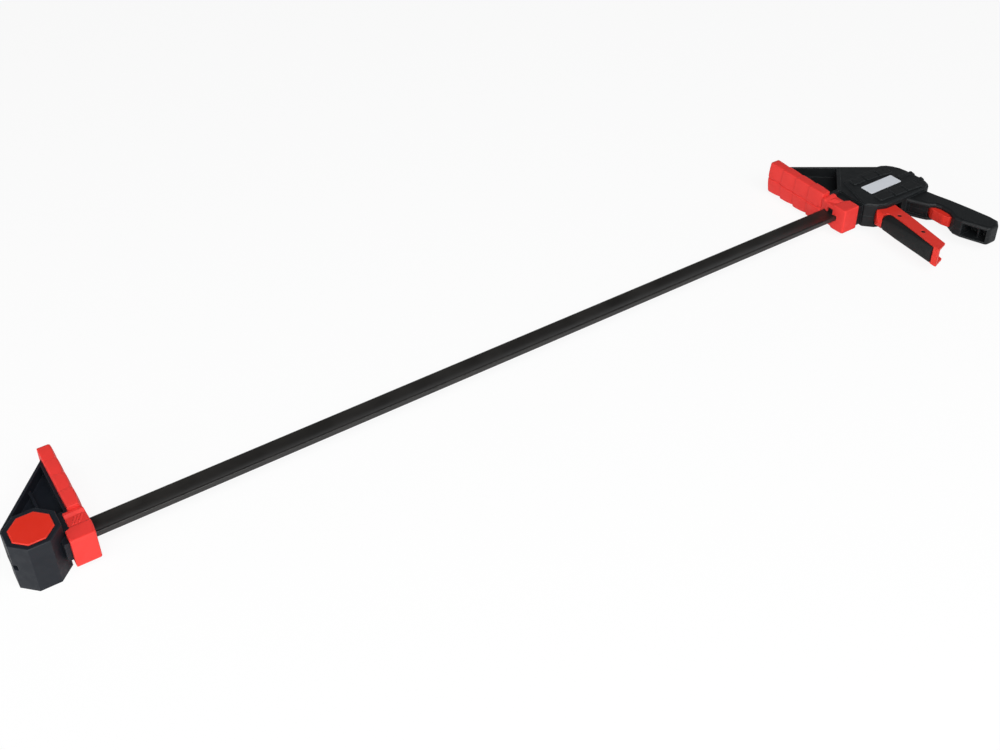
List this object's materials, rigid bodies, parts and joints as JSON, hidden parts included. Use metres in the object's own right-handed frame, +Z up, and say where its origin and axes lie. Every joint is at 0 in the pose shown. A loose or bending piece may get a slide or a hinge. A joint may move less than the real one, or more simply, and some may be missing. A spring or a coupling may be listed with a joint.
{
  "type": "quick release bar clamp",
  "caption": "One-handed bar clamp: a steel bar hollowed along both sides, a pinned fixed jaw and a sliding jaw with trigger, release lever, handle and rubber pads.",
  "frame": {"origin": "on the lower face of the fixed jaw's octagonal housing, below the bar's axis and in line with the lock pin", "axes": "+X along the bar from the fixed jaw to the sliding jaw, +Y the way the jaws reach, +Z up with the clamp lying on its side"},
  "size_m": [1.1059, 0.2413, 0.0518],
  "materials": {
    "black_steel": "black oxide, satin",
    "pin_steel": "ground",
    "spring_steel": "oiled spring wire",
    "plate_steel": "hardened, stamped",
    "screw_steel": "blackened",
    "black_plastic": "glass-filled nylon, fine texture",
    "red_plastic": "moulded, satin",
    "red_rubber": "soft, satin",
    "grip_rubber": "soft, matte",
    "label_white": "plain foil"
  },
  "bodies": {
    "clamp_frame": {"bar": "black_steel", "bar_stop_pin": "pin_steel", "fixed_jaw_housing": "black_plastic", "housing_base_cover": "black_plastic", "fixed_long_pad": "red_rubber", "fixed_bar_pad": "red_rubber", "button_spring": "spring_steel"},
    "lock_button": {"release_button": "red_plastic", "lock_pin": "pin_steel", "lock_pin_clip": "spring_steel"},
    "sliding_jaw": {"jaw_shell_upper": "black_plastic", "jaw_shell_lower": "black_plastic", "shell_screws": "screw_steel", "label_plate": "label_white", "sliding_long_pad": "red_rubber", "sliding_bar_pad": "red_rubber", "trigger_pin": "pin_steel", "release_pin": "pin_steel", "drive_spring": "spring_steel", "brake_spring": "spring_steel"},
    "trigger": {"trigger_lever": "red_plastic", "trigger_grip": "grip_rubber"},
    "drive_plates": {"drive_plate_1": "plate_steel", "drive_plate_2": "plate_steel", "drive_plate_3": "plate_steel"},
    "brake_plates": {"brake_plate_1": "plate_steel", "brake_plate_2": "plate_steel"},
    "release_lever": {"release_lever": "red_plastic"}
  },
  "joints": [
    {"name": "jaw_slide", "type": "slide", "parent": "clamp_frame", "child": "sliding_jaw", "axis": [1, 0, 0], "range_m": [-0.8944, 0]},
    {"name": "lock_button_press", "type": "slide", "parent": "clamp_frame", "child": "lock_button", "axis": [0, 0, -1], "range_m": [0, 0.0042], "stiffness_N_per_m": 500, "springref_m": -0.003, "deforming": ["button_spring"]},
    {"name": "trigger_pull", "type": "hinge", "parent": "sliding_jaw", "child": "trigger", "pos_m": [0.9962, -0.018, 0.0255], "axis": [0, 0, 1], "range_deg": [0, 22], "stiffness_Nm_per_rad": 0.5, "springref_deg": -8.59, "deforming": ["drive_spring"]},
    {"name": "drive_plates_slide", "type": "slide", "parent": "sliding_jaw", "child": "drive_plates", "axis": [1, 0, 0], "range_m": [0, 0.00485], "deforming": ["drive_spring"]},
    {"name": "release_pull", "type": "hinge", "parent": "sliding_jaw", "child": "release_lever", "pos_m": [1.0562, -0.101, 0.0255], "axis": [0, 0, -1], "range_deg": [0, 2.9], "stiffness_Nm_per_rad": 1, "springref_deg": -2.86},
    {"name": "brake_plates_tilt", "type": "hinge", "parent": "sliding_jaw", "child": "brake_plates", "pos_m": [1.0492, 0.017, 0.0255], "axis": [0, 0, 1], "range_deg": [0, 6], "deforming": ["brake_spring"]}
  ],
  "couplings": [
    {"joint": "drive_plates_slide", "follows": "trigger_pull", "m_per_rad": 0.0125},
    {"joint": "brake_plates_tilt", "follows": "release_pull", "ratio": 2.03}
  ]
}
